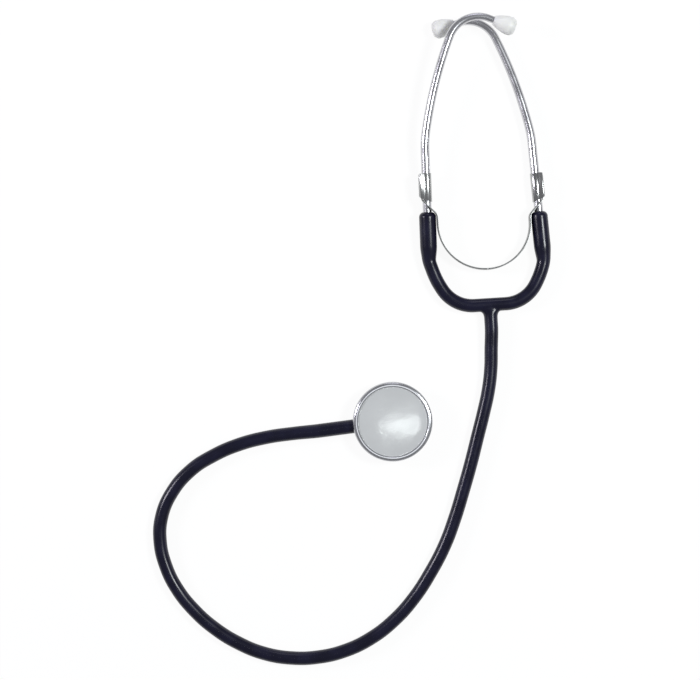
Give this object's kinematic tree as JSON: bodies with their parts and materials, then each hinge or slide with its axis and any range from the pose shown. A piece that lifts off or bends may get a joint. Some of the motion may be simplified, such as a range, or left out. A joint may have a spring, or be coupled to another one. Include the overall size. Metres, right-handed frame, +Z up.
{
  "type": "stethoscope",
  "caption": "Single-head stethoscope with a flat diaphragm chestpiece, a long hose to a moulded Y, sprung ear tubes that cross when closed, and soft ear tips.",
  "frame": {"origin": "centre of the chestpiece's flat back, on the table that the stethoscope lies on", "axes": "+Z up from the table; +Y from the chestpiece towards the ear tips' end; +X to the side where the Y of the hose lies"},
  "size_m": [0.2355, 0.3836, 0.0231],
  "materials": {
    "tubing": "soft PVC with a smooth gloss, very dark navy",
    "tube_chrome": "polished chrome on bent tube",
    "spring_steel": "satin spring steel strip",
    "clip_metal": "plated sheet metal",
    "tip_plastic": "milky, slightly translucent soft plastic",
    "head_chrome": "polished chrome on a turned head",
    "ring_chrome": "polished chrome on a turned rim",
    "disc": "thin stiff laminate, pale grey, half gloss, slightly wavy",
    "gasket": "thin black rubber"
  },
  "bodies": {
    "base": {"y_junction": "tubing", "left_arm": "tubing", "right_arm": "tubing", "main_tube": "tubing", "tube_end": "tubing", "leaf_spring": "spring_steel"},
    "left_ear": {"left_arm_sleeve": "tubing", "left_ear_tube": "tube_chrome", "left_tip_nipple": "tube_chrome", "left_spring_clip": "clip_metal"},
    "right_ear": {"right_arm_sleeve": "tubing", "right_ear_tube": "tube_chrome", "right_tip_nipple": "tube_chrome", "right_spring_clip": "clip_metal"},
    "left_tip": {"left_ear_tip": "tip_plastic"},
    "right_tip": {"right_ear_tip": "tip_plastic"},
    "chestpiece": {"chest_housing": "head_chrome", "chest_stem": "head_chrome", "diaphragm_gasket": "gasket", "diaphragm": "disc", "retaining_ring": "ring_chrome"}
  },
  "joints": [
    {"name": "left_ear_swing", "type": "hinge", "parent": "base", "child": "left_ear", "pos_m": [0.03489, 0.09966, 0.005], "axis": [0, 0, 1], "range_deg": [0, 36], "stiffness_Nm_per_rad": 0.9, "deforming": ["left_arm", "leaf_spring"]},
    {"name": "right_ear_swing", "type": "hinge", "parent": "base", "child": "right_ear", "pos_m": [0.07681, 0.10222, 0.005], "axis": [0, 0, 1], "range_deg": [-36, 0], "stiffness_Nm_per_rad": 0.9, "deforming": ["right_arm", "leaf_spring"]},
    {"name": "left_tip_turn", "type": "hinge", "parent": "left_ear", "child": "left_tip", "pos_m": [0.05855, 0.23512, 0.01808], "axis": [0.9366, -0.3483, -0.039], "continuous": true},
    {"name": "right_tip_turn", "type": "hinge", "parent": "right_ear", "child": "right_tip", "pos_m": [0.03695, 0.23493, 0.00574], "axis": [-0.9537, -0.3007, -0.0013], "continuous": true},
    {"name": "chest_swivel", "type": "hinge", "parent": "base", "child": "chestpiece", "pos_m": [0, 0, 0.00425], "axis": [-0.9914, -0.1305, 0], "continuous": true}
  ],
  "couplings": [
    {"joint": "right_ear_swing", "follows": "left_ear_swing", "ratio": -1}
  ]
}
